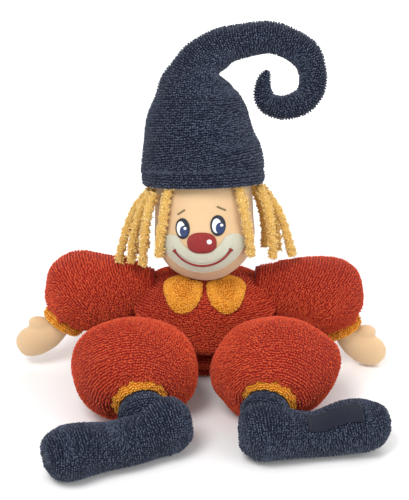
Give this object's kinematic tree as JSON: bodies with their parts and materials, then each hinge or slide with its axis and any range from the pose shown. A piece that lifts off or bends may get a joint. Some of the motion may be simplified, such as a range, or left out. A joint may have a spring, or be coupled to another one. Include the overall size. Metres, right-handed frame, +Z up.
{
  "type": "hand puppet",
  "caption": "Seated clown hand puppet: terry glove body open at the hem, stuffed arms, legs and shoes, velour head with yarn hair and a tall hat with a curled tip.",
  "frame": {"origin": "on the floor, at the middle of the hem ring's lower edge", "axes": "+Z up, the puppet faces -Y, +X is on the right when it is seen from the front"},
  "size_m": [0.3126, 0.2674, 0.2897],
  "materials": {
    "red_terry": "matte",
    "orange_terry": "matte",
    "skin_velour": "matte",
    "stuffing": "matte",
    "navy_thread": "satin",
    "dark_red_thread": "satin",
    "pale_thread": "satin",
    "brown_thread": "satin",
    "navy_terry": "matte",
    "yellow_yarn": "matte",
    "label_weave": "satin"
  },
  "bodies": {
    "torso": {"torso_front_panel": "red_terry", "torso_back_panel": "red_terry", "glove_hem": "red_terry", "collar_left": "orange_terry", "collar_right": "orange_terry"},
    "neck": {"neck_tube": "red_terry"},
    "head": {"face_panel": "skin_velour", "head_back_panel": "skin_velour", "head_stuffing": "stuffing", "head_finger_pocket": "red_terry", "left_eye": "navy_thread", "right_eye": "navy_thread", "nose": "dark_red_thread", "mouth_patch": "pale_thread", "smile": "dark_red_thread", "left_eyebrow": "brown_thread", "right_eyebrow": "brown_thread", "hat_hem": "navy_terry", "hat_crown": "navy_terry", "hat_stuffing": "stuffing", "hair_left_1": "yellow_yarn", "hair_left_2": "yellow_yarn", "hair_left_3": "yellow_yarn", "hair_left_4": "yellow_yarn", "hair_left_5": "yellow_yarn", "hair_left_6": "yellow_yarn", "hair_right_1": "yellow_yarn", "hair_right_2": "yellow_yarn", "hair_right_3": "yellow_yarn", "hair_right_4": "yellow_yarn", "hair_right_5": "yellow_yarn", "hair_back_1": "yellow_yarn", "hair_back_2": "yellow_yarn", "hair_back_3": "yellow_yarn", "hair_back_4": "yellow_yarn", "hair_back_5": "yellow_yarn"},
    "hat_tip": {"hat_curl": "navy_terry"},
    "left_arm": {"left_sleeve": "red_terry", "left_sleeve_stuffing": "stuffing", "left_finger_pocket": "red_terry", "left_sleeve_cuff": "orange_terry"},
    "left_hand": {"left_hand": "skin_velour", "left_hand_stuffing": "stuffing"},
    "left_leg": {"left_trouser_leg": "red_terry", "left_leg_stuffing": "stuffing", "left_ankle_cuff": "orange_terry"},
    "left_foot": {"left_shoe": "navy_terry", "left_shoe_stuffing": "stuffing"},
    "right_arm": {"right_sleeve": "red_terry", "right_sleeve_stuffing": "stuffing", "right_finger_pocket": "red_terry", "right_sleeve_cuff": "orange_terry"},
    "right_hand": {"right_hand": "skin_velour", "right_hand_stuffing": "stuffing"},
    "right_leg": {"right_trouser_leg": "red_terry", "right_leg_stuffing": "stuffing", "right_ankle_cuff": "orange_terry"},
    "right_foot": {"right_shoe": "navy_terry", "right_shoe_stuffing": "stuffing", "shoe_label": "label_weave"}
  },
  "joints": [
    {"name": "neck_turn", "type": "hinge", "parent": "torso", "child": "neck", "pos_m": [0, -0.009, 0.086], "axis": [0, 0, 1], "range_deg": [-30, 30]},
    {"name": "head_nod", "type": "hinge", "parent": "neck", "child": "head", "pos_m": [0, -0.009, 0.086], "axis": [1, 0, 0], "range_deg": [-12, 9], "deforming": ["hair_left_1", "hair_left_2", "hair_left_3", "hair_left_4", "hair_left_5", "hair_left_6", "hair_right_1", "hair_right_2", "hair_right_3", "hair_right_4", "hair_right_5", "hair_back_1", "hair_back_2", "hair_back_3", "hair_back_4", "hair_back_5"]},
    {"name": "hat_tip_flop", "type": "hinge", "parent": "head", "child": "hat_tip", "pos_m": [-0.00432, 0.03957, 0.25672], "axis": [0.1125, 0.9332, -0.3414], "range_deg": [-15, 4]},
    {"name": "left_arm_lift", "type": "hinge", "parent": "torso", "child": "left_arm", "pos_m": [-0.057, -0.009, 0.071], "axis": [0, 0.8192, 0.5736], "range_deg": [-8, 60]},
    {"name": "left_wrist_bend", "type": "hinge", "parent": "left_arm", "child": "left_hand", "pos_m": [-0.12257, -0.01815, 0.04123], "axis": [0, 1, 0], "range_deg": [-15, 15]},
    {"name": "right_arm_lift", "type": "hinge", "parent": "torso", "child": "right_arm", "pos_m": [0.057, -0.009, 0.071], "axis": [0, -0.8192, -0.5736], "range_deg": [-4, 60]},
    {"name": "right_wrist_bend", "type": "hinge", "parent": "right_arm", "child": "right_hand", "pos_m": [0.1191, -0.01815, 0.03454], "axis": [0, -1, 0], "range_deg": [-15, 15]},
    {"name": "left_hip_swing", "type": "hinge", "parent": "torso", "child": "left_leg", "pos_m": [-0.036, -0.058, 0.034], "axis": [-1, 0, 0], "range_deg": [-60, 10]},
    {"name": "left_ankle_bend", "type": "hinge", "parent": "left_leg", "child": "left_foot", "pos_m": [-0.05227, -0.12958, 0.03461], "axis": [-1, 0, 0], "range_deg": [-7, 10]},
    {"name": "right_hip_swing", "type": "hinge", "parent": "torso", "child": "right_leg", "pos_m": [0.036, -0.058, 0.034], "axis": [-1, 0, 0], "range_deg": [-60, 10]},
    {"name": "right_ankle_bend", "type": "hinge", "parent": "right_leg", "child": "right_foot", "pos_m": [0.05227, -0.12958, 0.03461], "axis": [-1, 0, 0], "range_deg": [-7, 10]}
  ]
}
